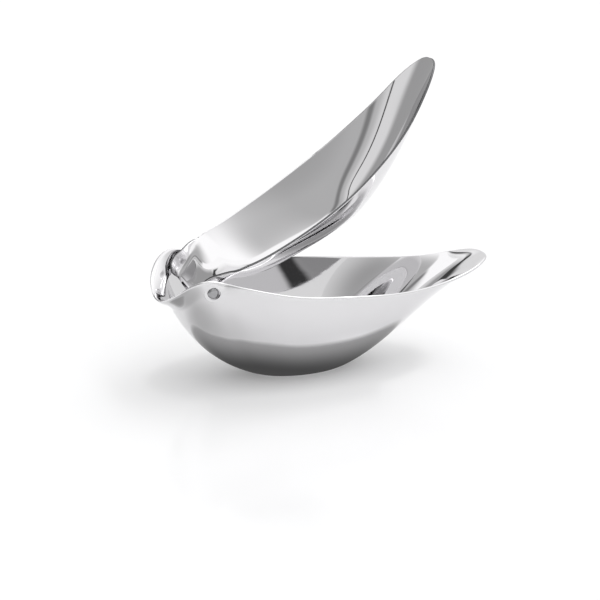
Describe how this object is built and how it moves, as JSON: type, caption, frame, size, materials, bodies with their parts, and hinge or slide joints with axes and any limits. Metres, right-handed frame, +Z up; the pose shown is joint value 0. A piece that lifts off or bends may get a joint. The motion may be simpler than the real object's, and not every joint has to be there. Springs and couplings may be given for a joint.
{
  "type": "hand citrus press",
  "caption": "Hand citrus press: a deep polished steel bowl with a pouring mouth and a leaf-shaped press lever hinged across it.",
  "frame": {"origin": "centre of the flat base of the bowl, on the surface that the press stands on", "axes": "+Z up, +X from the hinge towards the tips of both shells, +Y across, to the left of someone who looks along +X"},
  "size_m": [0.1532, 0.0628, 0.1337],
  "materials": {
    "polished_steel": "mirror polished stainless steel sheet",
    "pin_steel": "polished stainless steel bar",
    "washer_plastic": "plain, natural white"
  },
  "bodies": {
    "bowl": {"lower_bowl": "polished_steel", "pivot_pin_left": "pin_steel", "pivot_pin_right": "pin_steel", "spacer_washer_left": "washer_plastic", "spacer_washer_right": "washer_plastic"},
    "lever": {"press_lever": "polished_steel"}
  },
  "joints": [
    {"name": "lever_hinge", "type": "hinge", "parent": "bowl", "child": "lever", "pos_m": [-0.0466, 0, 0.0471], "axis": [0, -1, 0], "range_deg": [-36.5, 60]}
  ]
}
